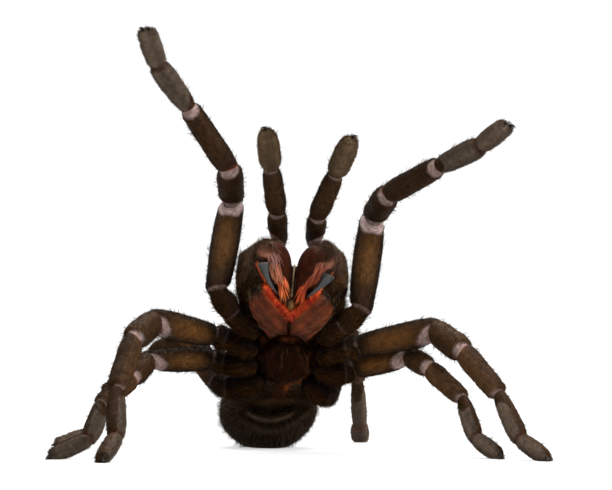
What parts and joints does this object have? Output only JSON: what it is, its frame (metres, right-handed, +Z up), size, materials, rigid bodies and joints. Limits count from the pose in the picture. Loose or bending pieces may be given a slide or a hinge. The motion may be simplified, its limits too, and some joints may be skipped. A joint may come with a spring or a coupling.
{
  "type": "thailand black tarantula",
  "caption": "Dark brown tarantula rearing in threat: front legs and palps raised, fangs half open, abdomen and the other feet on the floor.",
  "frame": {"origin": "middle of the underside of the bounding box, on the floor the animal stands on", "axes": "+Z up, -Y toward the side that the raised underside and fangs face, +X toward the animal's left"},
  "size_m": [0.0766, 0.0802, 0.0652],
  "materials": {
    "abdomen": "soft skin with dense near-black hair",
    "membrane": "bare pinkish grey skin",
    "shield": "very dark brown with short fine hair",
    "mouthpart": "reddish brown with fine hair and an orange fringe",
    "chelicera": "dark maroon with orange hair on the underside",
    "fang": "glossy slate blue-grey",
    "eye": "glossy black",
    "coxa": "dark brown with fine hair",
    "femur": "dark brown with an amber sheen",
    "shin": "dense dark brown hair",
    "foot": "grey-brown velvet of pad hair"
  },
  "bodies": {
    "root": {"abdomen": "abdomen", "spinneret_left": "abdomen", "spinneret_right": "abdomen", "pedicel": "membrane", "carapace": "shield", "sternum": "shield", "labium": "mouthpart", "chelicera_left": "chelicera", "chelicera_right": "chelicera", "fang_left": "fang", "fang_right": "fang", "eye_front_middle_left": "eye", "eye_front_middle_right": "eye", "eye_front_side_left": "eye", "eye_front_side_right": "eye", "eye_rear_middle_left": "eye", "eye_rear_middle_right": "eye", "eye_rear_side_left": "eye", "eye_rear_side_right": "eye", "palp_left_coxa": "mouthpart", "palp_left_femur": "femur", "palp_left_shin": "shin", "palp_left_tarsus": "foot", "palp_right_coxa": "mouthpart", "palp_right_femur": "femur", "palp_right_shin": "shin", "palp_right_tarsus": "foot", "leg_1_left_coxa": "coxa", "leg_1_left_femur": "femur", "leg_1_left_shin": "shin", "leg_1_left_foot": "foot", "leg_1_right_coxa": "coxa", "leg_1_right_femur": "femur", "leg_1_right_shin": "shin", "leg_1_right_foot": "foot", "leg_2_left_coxa": "coxa", "leg_2_left_femur": "femur", "leg_2_left_shin": "shin", "leg_2_left_foot": "foot", "leg_2_right_coxa": "coxa", "leg_2_right_femur": "femur", "leg_2_right_shin": "shin", "leg_2_right_foot": "foot", "leg_3_left_coxa": "coxa", "leg_3_left_femur": "femur", "leg_3_left_shin": "shin", "leg_3_left_foot": "foot", "leg_3_right_coxa": "coxa", "leg_3_right_femur": "femur", "leg_3_right_shin": "shin", "leg_3_right_foot": "foot", "leg_4_left_coxa": "coxa", "leg_4_left_femur": "femur", "leg_4_left_shin": "shin", "leg_4_left_foot": "foot", "leg_4_right_coxa": "coxa", "leg_4_right_femur": "femur", "leg_4_right_shin": "shin", "leg_4_right_foot": "foot"}
  },
  "joints": []
}
